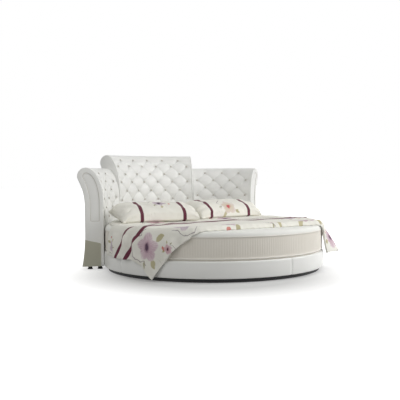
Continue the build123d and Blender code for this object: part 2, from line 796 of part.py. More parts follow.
def quilt():
    """Flat top cut square at the foot, with a hanging side on the left and a hanging corner on the right.
    The round top ends halfway along the flat part of the hanging sections."""
    rim = mattress_radius + quilt_stand_off - quilt_wrap_radius
    top = drum(rim - quilt_overlap / 2, quilt_underside, quilt_top)
    front_distance = mattress_radius - quilt_front_setback
    room = Box(4 * ring_radius, 2 * ring_radius, 4 * quilt_thickness)
    top -= Rot(0, 0, -quilt_turn) * Pos(0, -front_distance - ring_radius, quilt_underside) * room
    left = loft([skirt_section(*row) for row in left_skirt_shares], ruled=True)
    right = loft([skirt_section(*row) for row in right_skirt_shares], ruled=True)
    return top + left + right


# Pillows: length shares from end to end at which a section is drawn
pillow_section_shares = (-1.0, -0.95, -0.82, -0.6, -0.3, 0.0, 0.3, 0.6, 0.82, 0.95, 1.0)


def pillow():
    """Crowned pillow: lens sections that thin to the ends, with sides drawn in between the corners."""
    sections = []
    for share in pillow_section_shares:
        half_depth = pillow_depth / 2 * (1 - pillow_side_draw_share * (1 - share ** 2))
        swell = max(1 - abs(share) ** 2.6, 0) ** 0.6
        thickness = pillow_edge_thickness + (pillow_thickness - pillow_edge_thickness) * swell
        above = thickness * (1 - pillow_underside_share)
        below = thickness * pillow_underside_share
        face = make_face([
            ThreePointArc((-half_depth, 0), (0, above), (half_depth, 0)),
            ThreePointArc((half_depth, 0), (0, -below), (-half_depth, 0)),
        ])
        place = Plane(origin=(share * pillow_length / 2, 0, 0), x_dir=(0, 1, 0), z_dir=(1, 0, 0))
        sections.append(place * face)
    return loft(sections, ruled=True)


def pillow_row(offset, gap):
    """Place along Y that leaves a gap between the headboard and a pillow's outer corner."""
    corner = abs(offset) + pillow_length / 2
    return sqrt((face_radius - gap) ** 2 - corner ** 2) - pillow_depth / 2


def pillow_parts():
    shape = Rot(pillow_lean, 0, 0) * pillow()
    height = quilt_top + fit_gap - shape.bounding_box().min.Z
    for name, offset, gap, turn in (
            ("left_pillow", left_pillow_offset, left_pillow_gap, left_pillow_turn),
            ("right_pillow", right_pillow_offset, right_pillow_gap, right_pillow_turn)):
        save(name, Pos(offset, pillow_row(offset, gap), height) * Rot(0, 0, turn) * shape)


os.makedirs("parts", exist_ok=True)
ring_parts()
base_parts()
headboard_parts()
mattress_parts()
save("quilt", quilt())
pillow_parts()
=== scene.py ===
from math import cos, degrees, pi, radians, sin

import bpy
import numpy as np
from mathutils import Matrix, Vector


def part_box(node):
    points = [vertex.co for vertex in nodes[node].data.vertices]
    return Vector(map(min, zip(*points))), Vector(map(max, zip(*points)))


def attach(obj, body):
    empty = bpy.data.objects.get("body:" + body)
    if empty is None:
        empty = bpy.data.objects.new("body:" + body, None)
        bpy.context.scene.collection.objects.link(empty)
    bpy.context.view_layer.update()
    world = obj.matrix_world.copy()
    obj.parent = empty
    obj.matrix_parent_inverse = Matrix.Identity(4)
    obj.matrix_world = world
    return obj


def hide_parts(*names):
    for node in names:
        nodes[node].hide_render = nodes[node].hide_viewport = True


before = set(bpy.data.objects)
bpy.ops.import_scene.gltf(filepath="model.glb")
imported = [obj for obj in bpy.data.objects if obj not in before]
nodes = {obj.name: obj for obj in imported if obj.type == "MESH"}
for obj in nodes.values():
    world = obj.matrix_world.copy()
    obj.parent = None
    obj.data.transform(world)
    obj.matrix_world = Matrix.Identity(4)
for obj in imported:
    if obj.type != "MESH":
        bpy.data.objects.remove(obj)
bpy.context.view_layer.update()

# Camera. A lens of 59 mm on a 36 mm sensor, a little under eye height and 6.7 m from the middle of
# the bed, to the left of the foot. It looks two degrees down.
eye_azimuth = radians(-39.48)
eye_distance = 6.723
eye_height = 0.921
eye_heading = eye_azimuth + radians(1.14)
eye_pitch = radians(2.09)
eye_roll = radians(-0.33)
ahead = Vector((-sin(eye_heading) * cos(eye_pitch), cos(eye_heading) * cos(eye_pitch), -sin(eye_pitch)))
level = Vector((cos(eye_heading), sin(eye_heading), 0))
rightward = level * cos(eye_roll) + level.cross(ahead) * sin(eye_roll)
eye = Vector((eye_distance * sin(eye_azimuth), -eye_distance * cos(eye_azimuth), eye_height))
camera = bpy.data.objects.new("camera", bpy.data.cameras.new("camera"))
camera.data.sensor_width = 36.0
camera.data.lens = 59.427
axes = Matrix((rightward, rightward.cross(ahead), -ahead)).transposed().to_4x4()
camera.matrix_world = Matrix.Translation(eye) @ axes
scene = bpy.context.scene
scene.collection.objects.link(camera)
scene.camera = camera

# Studio. A white floor that keeps the soft shadow of the bed and has a soft shadow painted round it as well, a
# white surround, two large soft lamps to the right of the foot, a weaker one to the left and one overhead. All
# stay out of the picture.
MM = 0.001
scene.view_settings.view_transform = "Standard"


def linear(code):
    """Linear RGBA of an sRGB hex colour."""
    parts = [int(code[i:i + 2], 16) / 255 for i in (1, 3, 5)]
    return [c / 12.92 if c <= 0.04045 else ((c + 0.055) / 1.055) ** 2.4 for c in parts] + [1]


def add(tree, kind, inputs=(), out=0, **settings):
    """Adds a node and returns one of its outputs. kind is its type without ShaderNode. Inputs are a list by
    place or a dictionary by name or place, each a value or the output of another node."""
    node = tree.nodes.new("ShaderNode" + kind)
    for key, value in settings.items():
        setattr(node, key, value)
    for key, value in inputs.items() if isinstance(inputs, dict) else enumerate(inputs):
        if isinstance(value, bpy.types.NodeSocket):
            tree.links.new(value, node.inputs[key])
        else:
            node.inputs[key].default_value = value
    return node.outputs[out] if node.outputs else node


def new_material(name, colour="#808080", roughness=0.5, **sockets):
    """Material with a Principled shader and plain values on its sockets. Returns it, its tree and shader."""
    material = bpy.data.materials.new(name)
    material.use_nodes = True
    shader = material.node_tree.nodes["Principled BSDF"]
    shader.inputs["Base Color"].default_value = linear(colour)
    shader.inputs["Roughness"].default_value = roughness
    for key, value in sockets.items():
        shader.inputs[key.replace("_", " ")].default_value = value
    return material, material.node_tree, shader


def seen_directly(tree):
    """One for rays from the camera, mirrors and glass, and zero for the light on the object."""
    kinds = [add(tree, "LightPath", out=name)
             for name in ("Is Camera Ray", "Is Glossy Ray", "Is Transmission Ray")]
    first = add(tree, "Math", kinds[:2], operation="MAXIMUM")
    return add(tree, "Math", [first, kinds[2]], operation="MAXIMUM")


def area_lamp(name, place, target, size, power):
    """Square soft lamp at a place, aimed at a target, with a size in metres and a power in watts."""
    lamp = bpy.data.objects.new(name, bpy.data.lights.new(name, "AREA"))
    lamp.data.shape = "SQUARE"
    lamp.data.size = size
    lamp.data.energy = power
    aim = (Vector(target) - Vector(place)).to_track_quat("-Z", "Y").to_matrix().to_4x4()
    lamp.matrix_world = Matrix.Translation(place) @ aim
    scene.collection.objects.link(lamp)


ambient_strength = 0.40
# Lowest glow of the floor, inside the shadow painted round the bed; shadow_middle, shadow_start and shadow_end
# place that painted shadow.
glow_in_painted_shadow = 0.09
floor_reach = 40.0
shadow_middle = (-0.33, -0.45, 0.0)
shadow_start = 0.8
shadow_end = 1.7
world = bpy.data.worlds.new("studio")
world.use_nodes = True
world.node_tree.nodes.clear()
ambient, surround = (add(world.node_tree, "Background", {"Color": linear(tone), "Strength": strength})
                     for tone, strength in (("#fefefa", ambient_strength), ("#ffffff", 1.0)))
both = add(world.node_tree, "MixShader", [seen_directly(world.node_tree), ambient, surround])
add(world.node_tree, "OutputWorld", {"Surface": both})
scene.world = world
bed_middle = (0.0, 0.1, 0.45)
area_lamp("window_lamp", (3.2, -5.8, 3.1), bed_middle, 2.6, 92.0)
area_lamp("side_lamp", (5.1, -4.0, 3.0), bed_middle, 2.6, 160.0)
area_lamp("overhead_lamp", (0.0, -2.0, 5.0), (0.0, 0.0, 0.4), 3.2, 24.0)
area_lamp("fill_lamp", (-6.5, -1.5, 3.5), (0.0, 0.0, 0.5), 3.0, 54.0)

# Painted white floor. It shines for rays from the camera and mirrors only, little under the bed and fully
# from shadow_end outwards, so a soft shadow round the bed is painted into its glow on top of the real one.
# It is a light grey to the light that falls on the bed.
floor_coat, floor_tree, floor_shader = new_material("white_studio_floor", "#f4f4f4", 0.9)
seen = seen_directly(floor_tree)
floor_place = add(floor_tree, "TexCoord", out="Object")
from_bed = add(floor_tree, "VectorMath", [floor_place, shadow_middle], out="Value",
               operation="DISTANCE")
# The glow grows with the distance from shadow_middle: this is the painted shadow round the bed.
away = {"Value": from_bed, "From Min": shadow_start, "From Max": shadow_end, "To Min": glow_in_painted_shadow,
        "To Max": 1.0}
glow = add(floor_tree, "MapRange", away, clamp=True)
glow = add(floor_tree, "Math", [seen, glow], operation="MULTIPLY")
floor_tones = {0: seen, 6: linear("#a6a6a6"), 7: linear("#cdcdcd")}
floor_tone = add(floor_tree, "Mix", floor_tones, out=2, data_type="RGBA")
floor_tree.links.new(floor_tone, floor_shader.inputs["Base Color"])
floor_shader.inputs["Emission Color"].default_value = linear("#ffffff")
floor_tree.links.new(glow, floor_shader.inputs["Emission Strength"])
floor_mesh = bpy.data.meshes.new("floor")
corners = [(x * floor_reach, y * floor_reach, 0) for x, y in ((-1, -1), (1, -1), (1, 1), (-1, 1))]
floor_mesh.from_pydata(corners, [], [(0, 1, 2, 3)])
floor_mesh.materials.append(floor_coat)
floor = bpy.data.objects.new("floor", floor_mesh)
scene.collection.objects.link(floor)


def dress(material, *names):
    """Gives a material to nodes that keep their own shape."""
    for name in names:
        nodes[name].data.materials.clear()
        nodes[name].data.materials.append(material)


def planed_timber(name, pale, dark, across, along):
    """Planed softwood or beech: growth rings as noise stretched along the board, with a thin lacquer.
    Across and along are the width of a ring and the length of a figure, as lengths."""
    material, tree, shader = new_material(name, pale, 0.55)
    place = add(tree, "TexCoord", out="Object")
    grain = add(tree, "Mapping", {"Vector": place, "Scale": (1 / along, 1 / across, 1 / across)})
    figure = add(tree, "TexNoise",
                 {"Vector": grain, "Scale": 1.0, "Detail": 4.0, "Distortion": 0.6})
    tone = add(tree, "Mix", {0: figure, 6: linear(pale), 7: linear(dark)}, out=2, data_type="RGBA")
    bump = add(tree, "Bump", {"Height": figure, "Strength": 0.08, "Distance": 0.5 * MM})
    tree.links.new(tone, shader.inputs["Base Color"])
    tree.links.new(bump, shader.inputs["Normal"])
    return material


pine = planed_timber("planed_pine", "#dcbf8f", "#b98f58", 9 * MM, 240 * MM)
birch = planed_timber("birch_plywood", "#d9c7a3", "#b79c70", 14 * MM, 180 * MM)
beech = planed_timber("steamed_beech", "#d8b184", "#b98a5c", 5 * MM, 120 * MM)
# Black-painted timber for the plinth and the legs under the bed. Its near-black is partly painted shade,
# standing in for the deep shade in the low gap under the ring.
painted_shade_black = planed_timber("black_timber_and_gap_shade", "#17161a", "#0f0e10", 12 * MM, 200 * MM)
sides = ("back_left", "back_right", "front_left", "front_right")
dress(pine, "left_beam", "centre_beam", "right_beam", "slat_ledge",
      *("rail_core_" + side for side in sides))
dress(birch, "centre_carcass", "left_wing_carcass", "right_wing_carcass")
dress(beech, "section_dowels",
      *(name for name in nodes if name.startswith("slat_") and name != "slat_ledge"))
dress(painted_shade_black, "plinth", "centre_leg", "beam_legs")

# Fittings: zinc-plated steel straps, plates, stirrups and screws, and glides of moulded black nylon
# under the headboard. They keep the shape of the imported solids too.
def coat(name, pale, deep, roughness, drift, *patterns, **sockets):
    """Material whose tone drifts from pale to deep, with patterns pressed into it one over the other. The
    drift and each pattern start with a size and a detail of noise, or None for round cells, and a pattern
    goes on with its strength and depth. Without a drift the colour is even."""
    material, tree, shader = new_material(name, pale, roughness, **sockets)
    place = add(tree, "TexCoord", out="Object")
    normal = {}
    for size, detail, *press in ([drift] if drift else []) + list(patterns):
        inputs = {"Vector": place, "Scale": 1 / size}
        if detail is None:
            figure = add(tree, "TexVoronoi", inputs, feature="F1")
        else:
            figure = add(tree, "TexNoise", {**inputs, "Detail": detail})
        if press:
            strength, depth = press
            bump = {"Height": figure, "Strength": strength, "Distance": depth, **normal}
            normal = {"Normal": add(tree, "Bump", bump)}
        else:
            tones = {0: figure, 6: linear(pale), 7: linear(deep)}
            tone = add(tree, "Mix", tones, out=2, data_type="RGBA")
            tree.links.new(tone, shader.inputs["Base Color"])
    if normal:
        tree.links.new(normal["Normal"], shader.inputs["Normal"])
    return material


# Zinc with a spangle of 12 mm, and nylon with the fine pits of its mould.
zinc = coat("zinc_plated_steel", "#c6c9cc", "#a3a7ac", 0.36, (12 * MM, 2.0), Metallic=1.0)
dress(zinc, "beam_hangers", "rail_joint_plates", "rail_joint_bolts", "headboard_straps", "seam_plates",
      "strap_screws")

nylon = coat("moulded_black_nylon", "#121214", None, 0.5, None, (2 * MM, 1.0, 0.15, 0.2 * MM))
dress(nylon, "headboard_glides")

# Ring covers: four bands of padded ivory leather stretched over the rails, turned under at the foot and
# stapled. Each is drawn in at the seams where two rails meet.
ring_radius = 1100 * MM
ring_underside = 35 * MM
ring_top = 188 * MM
cover_inner_radius = 1045 * MM
cover_thickness = 9.8 * MM
cover_return = 20 * MM
cover_return_thickness = 2.8 * MM
cover_bulge = 2.5 * MM
cover_top_round = 15 * MM
cover_foot_round = 6 * MM
seam_gap = 0.4 * MM
seam_draw = 5 * MM
seam_reach = 9 * MM
pucker_depth = 0.5 * MM
pucker_pitch = 17 * MM
pucker_reach = 30 * MM
cover_steps = 231


def around(radius, bearing, height):
    """Points (r sin b, r cos b, z) at radii, bearings in degrees from +Y towards +X, and heights."""
    r, b, z = np.broadcast_arrays(radius, np.radians(bearing), height)
    return np.stack([r * np.sin(b), r * np.cos(b), z], -1)


def straight(start, end, count):
    """Points spaced evenly from start to end."""
    return np.linspace(start, end, count)


def bend(centre, radius, start, end, count):
    """Points on a circle in the plane of radius and height, between two angles in degrees."""
    turn = np.radians(np.linspace(start, end, count))
    return np.stack([centre[0] + radius * np.cos(turn), centre[1] + radius * np.sin(turn)], -1)


def even(path, count):
    """Points spaced evenly along a path of many points."""
    steps = np.hypot(*np.diff(path, axis=0).T)
    length = np.append(0, np.cumsum(steps))
    at = np.linspace(0, length[-1], count)
    return np.stack([np.interp(at, length, path[:, 0]), np.interp(at, length, path[:, 1])], -1)


def faces_over(loops, count, closed, capped):
    """Quads between neighbouring loops of points. A capped end is closed by quads across its loop, from
    point i to the last point but i."""
    index = np.arange(loops * count).reshape(loops, count)
    after = np.roll(index, -1, axis=1)
    lower = slice(None) if closed else slice(None, -1)
    following, following_after = np.roll(index, -1, axis=0), np.roll(after, -1, axis=0)
    around_loops = np.stack([index[lower], after[lower], following_after[lower], following[lower]], -1)
    quads = [around_loops.reshape(-1, 4)]
    i = np.arange(count // 2 - 1)
    across = np.stack([i, i + 1, count - 2 - i, count - 1 - i], -1)
    if capped[0]:
        quads.append(across[:, ::-1])
    if capped[1]:
        quads.append(across + (loops - 1) * count)
    return np.concatenate(quads)


def build(name, surfaces, coats, closed=False, capped=(True, True), rows=None, flat=None, sharp=38):
    """Piece made of one or more surfaces, each an array of loops of points. A closed volume that comes out
    negative has its faces turned round. rows gives the material of each row of faces, and flat the place
    of each point on the cloth as it was cut, which becomes the UV map."""
    points, quads, start = [], [], 0
    if closed:
        capped = (False, False)
    for loops in surfaces:
        faces = faces_over(*loops.shape[:2], closed, capped)
        flattened = loops.reshape(-1, 3)
        a, b, c, d = (flattened[faces[:, k]] for k in range(4))
        volume = (np.cross(a, b) * c).sum() + (np.cross(a, c) * d).sum()
        if volume < 0 and (closed or all(capped)):
            faces = faces[:, ::-1]
        points.append(flattened)
        quads.append(faces + start)
        start += len(flattened)
    quads = np.concatenate(quads)
    mesh = bpy.data.meshes.new(name)
    mesh.from_pydata(np.concatenate(points).tolist(), [], quads.tolist())
    for coat in coats:
        mesh.materials.append(coat)
    mesh.polygons.foreach_set("use_smooth", np.ones(len(quads), bool))
    if rows is not None:
        kinds = np.zeros(len(quads), np.int32)
        kinds[:len(rows) * surfaces[0].shape[1]] = np.repeat(rows, surfaces[0].shape[1])
        mesh.polygons.foreach_set("material_index", kinds)
    if flat is not None:
        corner = np.zeros(len(mesh.loops), np.int32)
        mesh.loops.foreach_get("vertex_index", corner)
        mesh.uv_layers.new(name="flat").data.foreach_set("uv", flat.reshape(-1, 2)[corner].ravel())
    mesh.set_sharp_from_angle(angle=radians(sharp))
    piece = bpy.data.objects.new(name, mesh)
    scene.collection.objects.link(piece)
    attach(piece, "root")
    return piece


def leather(name, pale, deep, roughness):
    """Corrected-grain leather: pebbled cells pressed into the surface, a soft unevenness of the hide under
    them and a faint drift of tone. The cells are drawn at 5 mm, coarser than the real ones, to show."""
    return coat(name, pale, deep, roughness, (300 * MM, 2.0), (55 * MM, 4.0, 0.25, 3 * MM),
                (5 * MM, None, 0.12, 0.6 * MM), Coat_Weight=0.06, Coat_Roughness=0.4)


def drawn_in(distance):
    """Depth to which stitching pulls leather in, falling off with the distance from the seam."""
    return seam_draw * np.exp(-(distance / seam_reach) ** 1.5)


ivory = leather("ivory_corrected_leather", "#f3f3f1", "#ebebe8", 0.42)
foot_centre = (ring_radius - cover_foot_round, ring_underside + cover_foot_round)
shoulder_centre = (ring_radius - cover_top_round, ring_top - cover_top_round)
outside = np.concatenate([
    straight((ring_radius - cover_thickness - cover_return, ring_underside), (foot_centre[0], ring_underside),
             6)[:-1],
    bend(foot_centre, cover_foot_round, -90, 0, 6)[:-1],
    straight((ring_radius, foot_centre[1]), (ring_radius, shoulder_centre[1]), 14)[:-1],
    bend(shoulder_centre, cover_top_round, 0, 90, 9)[:-1],
    straight((shoulder_centre[0], ring_top), (cover_inner_radius, ring_top), 6)])
height_share = np.clip((outside[:, 1] - ring_underside) / (ring_top - ring_underside), 0, 1)
outside[:, 0] += cover_bulge * np.sin(pi * height_share)
inside = np.stack([
    np.clip(outside[:, 0] - cover_bulge, None, ring_radius - cover_thickness),
    np.clip(outside[:, 1], ring_underside + cover_return_thickness, ring_top - cover_thickness)], -1)
for side, start in zip(sides, (270, 0, 180, 90)):
    gap = degrees(seam_gap / ring_radius)
    bearings = np.linspace(start + gap, start + 90 - gap, cover_steps)
    reach = np.minimum(bearings - start, start + 90 - bearings) * radians(1) * ring_radius
    pucker = pucker_depth * np.sin(2 * pi * outside[None, :, 1] / pucker_pitch)
    depth = drawn_in(reach)[:, None] + pucker * np.exp(-reach / pucker_reach)[:, None]
    toward = (inside - outside) / np.hypot(*(inside - outside).T)[:, None]
    skin = outside[None] + toward[None] * depth[..., None]
    lining = np.repeat(inside[None, ::-1], len(bearings), axis=0)
    loop = np.concatenate([skin, lining], axis=1)
    surface = around(loop[..., 0], bearings[:, None], loop[..., 1])
    cover = build("rail_cover_" + side + "_leather", [surface], [ivory])
    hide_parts("rail_cover_" + side)

# Tufted pads of the headboard: foam under ivory leather, pulled to the board by buttons in staggered
# rows, with the spare leather folded into pleats from button to button.
face_radius = 1105 * MM
roll_axis_radius = 1275 * MM
roll_radius = 85 * MM
waist_radius = 1289 * MM
foot_flare = 29 * MM
flare_height = 365 * MM
roll_under = radians(27)
pad_depth = 44 * MM
pad_top_depth = 11.4 * MM
pad_low = 200 * MM
tuft_depth = 19 * MM
dimple_depth = 3 * MM
dimple_radius = 15 * MM
edge_round = 8 * MM
top_round = 5 * MM
surface_step = 7 * MM
mid_radius = face_radius + 92 * MM
cheek_thickness = 10 * MM
border_thickness = 22 * MM
section_gap_angle = degrees(1.6 * MM / face_radius)
cheek_angle = degrees(cheek_thickness / mid_radius)
cap_angle = degrees(border_thickness / mid_radius)
CENTRE = dict(top=1155 * MM, rise=420 * MM, spacing=184 * MM, top_buttons=5, start=-27 + cheek_angle,
              end=27 - cheek_angle, drops=(48, 119, 208, 296, 394, 494, 594))
WING = dict(top=1010 * MM, rise=350 * MM, spacing=186 * MM, top_buttons=3, start=27 + section_gap_angle,
            end=63 - cap_angle, drops=(52, 137, 224, 315, 410, 505))
SECTIONS = (("centre", 1, CENTRE), ("right_wing", 1, WING), ("left_wing", -1, WING))


def front_curve(section, set_back, set_down, low, count=400):
    """Front of a section from its underside up: upright, then a quarter ellipse that rolls back to the top.
    set_back and set_down draw it in at the front and at the top."""
    spring = section["top"] - section["rise"]
    turn = np.linspace(0, pi / 2, 300)
    depth = roll_axis_radius - face_radius - set_back
    ellipse = np.stack([roll_axis_radius - depth * np.cos(turn),
                        spring + (section["rise"] - set_down) * np.sin(turn)], -1)
    return even(np.concatenate([[(face_radius + set_back, low)], ellipse]), count)


def button_grid(section):
    """Heights of the levels and bearings of the columns of the tufting, which stand half a spacing apart."""
    rows = sorted(section["top"] - drop * MM for drop in section["drops"])
    levels = [pad_low] + rows + [section["top"] - 12 * MM, section["top"]]
    half_step = degrees(section["spacing"] / face_radius) / 2
    middle = (section["start"] + section["end"]) / 2
    places = range(-section["top_buttons"], section["top_buttons"] + 1)
    return levels, [section["start"]] + [middle + m * half_step for m in places] + [section["end"]]


def tuft(section, height, bearing):
    """Depth of the tufting. Rows counted from the top and columns from the first turn into a and b, which
    are whole at the buttons: depth = (1 - puff) (0.6 + 0.4 |cos pi a cos pi b|), puff = |sin pi a sin pi b|
    to the power 0.4. It fades to nothing in the margins."""
    levels, columns = button_grid(section)
    k = np.interp(height, levels, np.arange(len(levels)))
    m = np.interp(bearing, columns, np.arange(len(columns)))
    row, column = np.clip(k, 1, len(section["drops"])), np.clip(m, 1, len(columns) - 2)
    fade = np.clip(1 - abs(k - row), 0, 1) * np.clip(1 - abs(m - column), 0, 1)
    a = pi * (column - 1 + len(section["drops"]) - row + 1) / 2
    b = pi * (column - 1 - len(section["drops"]) + row - 1) / 2
    puff = np.abs(np.sin(a) * np.sin(b)) ** 0.4
    return tuft_depth * fade * (1 - puff) * (0.6 + 0.4 * np.abs(np.cos(a) * np.cos(b)))


def button_places(section):
    """Heights and bearings of the buttons."""
    levels, columns = button_grid(section)
    rows = len(section["drops"])
    return [(levels[k], columns[m]) for k in range(1, rows + 1) for m in range(1, len(columns) - 1)
            if (rows - k + m - 1) % 2 == 1]


def rounded(distance, radius):
    """Depth of a rounded edge at a distance from the edge."""
    return radius - np.sqrt(radius ** 2 - (radius - np.minimum(distance, radius)) ** 2)


def tufted_pad(section, side):
    """Loops of a pad, one at each bearing: up the tufted front and down the plain back."""
    steps = int(radians(section["end"] - section["start"]) * face_radius / surface_step)
    bearings = np.linspace(section["start"], section["end"], steps)[:, None]
    front = front_curve(section, 0, 0, pad_low)
    length = np.hypot(*np.diff(front, axis=0).T).sum()
    front = even(front, int(length / surface_step))
    back = even(front_curve(section, pad_depth, pad_top_depth, pad_low), len(front))
    tangent = np.gradient(front, axis=0)
    inward = np.stack([tangent[:, 1], -tangent[:, 0]], -1) / np.hypot(*tangent.T)[:, None]
    along = np.linspace(0, length, len(front))
    depth = tuft(section, front[None, :, 1], bearings)
    for height, bearing in button_places(section):
        near = np.hypot((bearings - bearing) * radians(1) * face_radius,
                        along - np.interp(height, front[:, 1], along))
        depth += dimple_depth * np.exp(-(near / dimple_radius) ** 2)
    beside = np.minimum(bearings - section["start"], section["end"] - bearings) * radians(1) * face_radius
    depth = np.maximum(depth, rounded(beside, edge_round))
    depth = np.maximum(depth, rounded(along, edge_round)[None])
    depth = np.maximum(depth, rounded(length - along, top_round)[None])
    face = front[None] + inward[None] * depth[..., None]
    loop = np.concatenate([face, np.repeat(back[None, ::-1], len(bearings), axis=0)], axis=1)
    return around(loop[..., 0], side * bearings, loop[..., 1])


for name, side, section in SECTIONS:
    pad = build(name + "_tufted_leather", [tufted_pad(section, side)], [ivory], sharp=60)
    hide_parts(name + "_tufted_pad")

# Buttons: domed moulds covered with the same leather and tied through the board. They sit at the bottom
# of the tufts, square to the face.
button_profile = np.array([(2.5, 0), (9.5, 4.5), (12, 7), (12.3, 8.2), (11.6, 10), (9, 11.6), (5, 12.5),
                           (1, 12.8)]) * MM
button_seat_depth = 14.6 * MM
button_sides = 20
button_leather = leather("covered_button_leather", "#d5d2cc", "#c9c5be", 0.45)


def button(section, side, height, bearing):
    """Loops of a button: its profile turned about the axis that points out of the face."""
    front = front_curve(section, 0, 0, pad_low)
    tangent = np.gradient(front, axis=0)
    at = np.argmin(abs(front[:, 1] - height))
    lean = np.arctan2(tangent[at, 0], tangent[at, 1])
    axis = around(-np.cos(lean), side * bearing, np.sin(lean))
    across = around(1.0, side * bearing + 90, 0.0)
    seat = around(front[at, 0], side * bearing, height) - axis * button_seat_depth
    turn = np.linspace(0, 2 * pi, button_sides, endpoint=False)[None, :, None]
    spoke = np.cos(turn) * across + np.sin(turn) * np.cross(axis, across)
    return seat + button_profile[:, 1, None, None] * axis + button_profile[:, 0, None, None] * spoke


for name, side, section in SECTIONS:
    studs = [button(section, side, *place) for place in button_places(section)]
    piece = build(name + "_covered_buttons", studs, [button_leather])
    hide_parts(name + "_buttons")

# Back covers: plain ivory leather over the roll and down the back of each section, drawn tight over the
# hollow neck and the flared foot. On the wings it also turns in over the end beside the centre section.
back_thickness = 11.6 * MM
back_points = 150
leaf_inset = 1.5 * MM
leaf_middle = waist_radius - 90 * MM
leaf_shares = (0.6, 0.1)


def back_curve(section, inset, low, count):
    """Back of a section from the top down, drawn in by an inset: a roll, a hollow neck tangent to it, an
    upright and a flare at the foot."""
    roll = roll_radius - inset
    neck = (roll_axis_radius + roll_radius * cos(roll_under) - waist_radius) / (1 - cos(roll_under)) + inset
    roll_height = section["top"] - roll_radius
    turn = degrees(roll_under)
    neck_centre = (roll_axis_radius + (roll + neck) * cos(roll_under),
                   roll_height - (roll + neck) * sin(roll_under))
    fall = flare_height - ring_underside
    flare = (fall ** 2 + foot_flare ** 2) / (2 * foot_flare) + inset
    heights = np.linspace(neck_centre[1], low, 80)
    below = np.clip(flare_height - heights, 0, None)
    upright = np.stack([neck_centre[0] - neck + flare - np.sqrt(flare ** 2 - below ** 2), heights], -1)
    return even(np.concatenate([
        bend((roll_axis_radius, roll_height), roll, 90, -turn, 80)[:-1],
        bend(neck_centre, neck, 180 - turn, 180, 60)[:-1],
        upright]), count)


def turned_in(section, side):
    """Loops of the thin leaf of leather over the end of a wing: its outline, a little inside the pad and the
    back cover, at two shares of the gap beside the centre section."""
    front = front_curve(section, 0, 0, pad_low, back_points + 1)
    back = back_curve(section, 0, pad_low, back_points)
    loop = np.concatenate([front[:-1], back])
    radii = loop[:, 0] + leaf_inset * np.sign(leaf_middle - loop[:, 0])
    return np.array([around(radii, side * (section["start"] - section_gap_angle * share), loop[:, 1])
                     for share in leaf_shares])


for name, side, section in SECTIONS:
    outer = back_curve(section, 0, ring_underside, back_points)
    inner = back_curve(section, back_thickness, ring_underside, back_points)
    bearings = np.linspace(section["start"], section["end"], 60)[:, None]
    beside = np.minimum(bearings - section["start"], section["end"] - bearings) * radians(1) * waist_radius
    toward = (inner - outer) / back_thickness
    skin = outer[None] + toward[None] * rounded(beside, top_round)[..., None]
    loop = np.concatenate([skin, np.repeat(inner[None, ::-1], len(bearings), axis=0)], axis=1)
    surfaces = [around(loop[..., 0], side * bearings, loop[..., 1])]
    if section is WING:
        surfaces.append(turned_in(section, side))
    piece = build(name + "_back_leather", surfaces, [ivory])
    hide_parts(name + "_back_cover")

# Cheeks: thin upholstered boards that close the two sides of the centre section, where it stands above
# the wings. Their outer edges are rounded.
cheek_round = 9 * MM


def section_loop(section, front_inset, back_inset, low, corner=0.0):
    """Whole outline of a section as a loop, drawn in at the front, at the back and top, and cut off at a
    height: half the underside, front corner, front, back, back corner, and the other half."""
    front = front_curve(section, front_inset, back_inset, low + corner, 60)
    back = back_curve(section, back_inset, low + corner, 60)
    middle = ((front[0, 0] + back[-1, 0]) / 2, low)
    fore, aft = (front[0, 0] + corner, low), (back[-1, 0] - corner, low)
    return np.concatenate([
        straight(middle, fore, 8)[:-1],
        bend((fore[0], low + corner), corner, 270, 180, 6)[:-1],
        front[:-1], back,
        bend((aft[0], low + corner), corner, 0, -90, 6)[1:],
        straight(aft, middle, 8)[1:]])[1:]


def rounding(thickness, radius):
    """Insets and depths of a board's side and its rounded outer edge."""
    turn = np.radians(np.linspace(0, 90, 6))
    return [(0.0, 0.0), *zip(radius * (1 - np.cos(turn)), thickness - radius + radius * np.sin(turn))]


def built_out(section, side, outlines):
    """Loops of a board at the end of a section: outlines, each at its depth outwards."""
    return np.array([around(loop[:, 0], side * (section["end"] + degrees(depth / mid_radius)), loop[:, 1])
                     for loop, depth in outlines])


for side, name in ((1, "centre_right_cheek"), (-1, "centre_left_cheek")):
    outlines = [(section_loop(CENTRE, inset, inset, ring_underside + inset), depth)
                for inset, depth in rounding(cheek_thickness, cheek_round)]
    piece = build(name + "_leather", [built_out(CENTRE, side, outlines)], [ivory])
    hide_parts(name)

# Wing ends: a padded border with rounded edges round an inset panel, and piping in the joint between
# them. A taupe leather panel with a sloping top closes the foot.
panel_low = 480 * MM
panel_front_inset = 42 * MM
panel_back_inset = 52 * MM
panel_corner = 12 * MM
small_corner = 1 * MM
panel_profile = np.array([(0.6, 0), (0.6, 13), (1.0, 15), (2.2, 16.5), (4.5, 17.3), (9, 17.9), (16, 18.4),
                          (24, 18.8), (30, 19)]) * MM
border_round = 8 * MM
lip_round = 4 * MM
piping_radius = 3 * MM
piping_inset = 1 * MM
piping_depth = 18.5 * MM


def panel_loop(inset, corner):
    """Outline of the inset panel, drawn in on all sides."""
    return section_loop(WING, panel_front_inset + inset, panel_back_inset + inset, panel_low + inset, corner)


def end_border(side):
    """Loops of the border, one at each point of the outline: up the outside, over the rounded edge, across
    the face, over the lip and down to the panel."""
    outer = [(section_loop(WING, inset, inset, ring_underside + inset, small_corner), depth)
             for inset, depth in rounding(border_thickness, border_round)]
    lip = [(panel_loop(-inset, panel_corner), depth) for inset, depth in rounding(border_thickness, lip_round)]
    return built_out(WING, side, outer + lip[::-1])


def end_panel(side):
    """Loops of the inset panel: up its side and over a soft crown towards its middle."""
    return built_out(WING, side, [(panel_loop(inset, max(panel_corner - inset, small_corner)), depth)
                                  for inset, depth in panel_profile])


